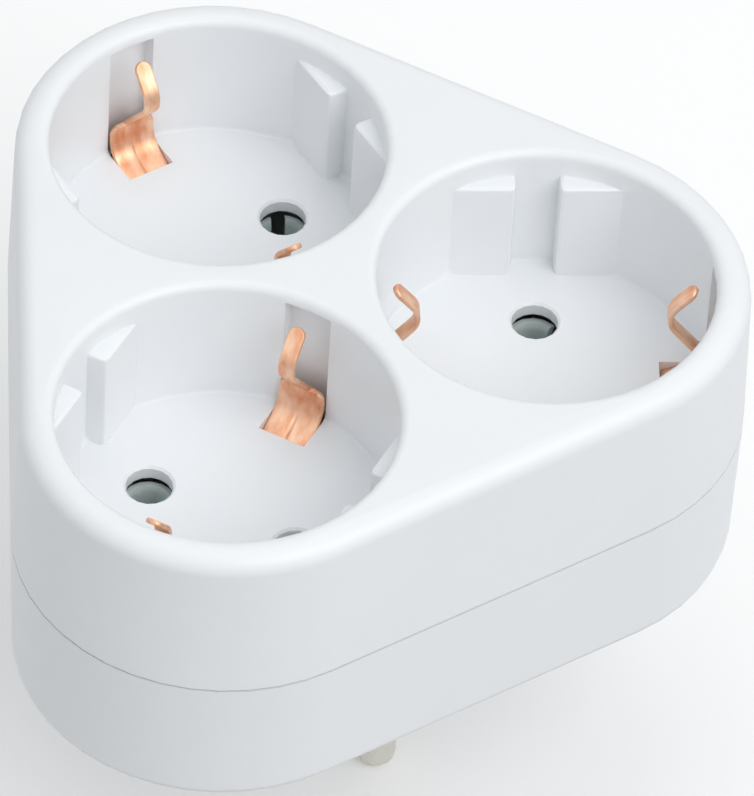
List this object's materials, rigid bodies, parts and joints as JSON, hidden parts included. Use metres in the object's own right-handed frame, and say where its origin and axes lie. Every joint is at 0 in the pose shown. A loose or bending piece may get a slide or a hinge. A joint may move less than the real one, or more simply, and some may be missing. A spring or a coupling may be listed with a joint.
{
  "type": "socket outlet adapter",
  "caption": "White plug-in adapter with round recessed earthed sockets in a rounded triangular body and a round pin plug below.",
  "frame": {"origin": "centre of the plug's end face, on the plug's axis", "axes": "+Z out of the sockets, away from the wall outlet; +X towards socket 1; sockets 2 and 3 follow at 120 and 240 degrees round +Z"},
  "size_m": [0.0849, 0.0908, 0.0783],
  "materials": {
    "housing": "satin white moulded plastic",
    "pin": "nickel plated",
    "sleeve": "plated sheet",
    "earth": "bare copper alloy sheet",
    "busbar": "bare sheet",
    "board": "matte insulating board",
    "fastener": "zinc plated"
  },
  "bodies": {
    "root": {"upper_housing": "housing", "lower_housing": "housing", "live_pin": "pin", "neutral_pin": "pin", "plug_earth_strip_1": "earth", "plug_earth_strip_2": "earth", "plug_earth_rivet_1": "fastener", "plug_earth_rivet_2": "fastener", "live_busbar": "busbar", "neutral_busbar": "busbar", "insulating_board": "board", "earth_link": "earth", "live_contact_1": "sleeve", "neutral_contact_1": "sleeve", "live_rivet_1": "fastener", "neutral_rivet_1": "fastener", "earth_clip_strip_1": "earth", "earth_rivet_1": "fastener", "housing_screw_1": "fastener", "live_contact_2": "sleeve", "neutral_contact_2": "sleeve", "live_rivet_2": "fastener", "neutral_rivet_2": "fastener", "earth_clip_strip_2": "earth", "earth_rivet_2": "fastener", "housing_screw_2": "fastener", "live_contact_3": "sleeve", "neutral_contact_3": "sleeve", "live_rivet_3": "fastener", "neutral_rivet_3": "fastener", "earth_clip_strip_3": "earth", "earth_rivet_3": "fastener", "housing_screw_3": "fastener"}
  },
  "joints": []
}
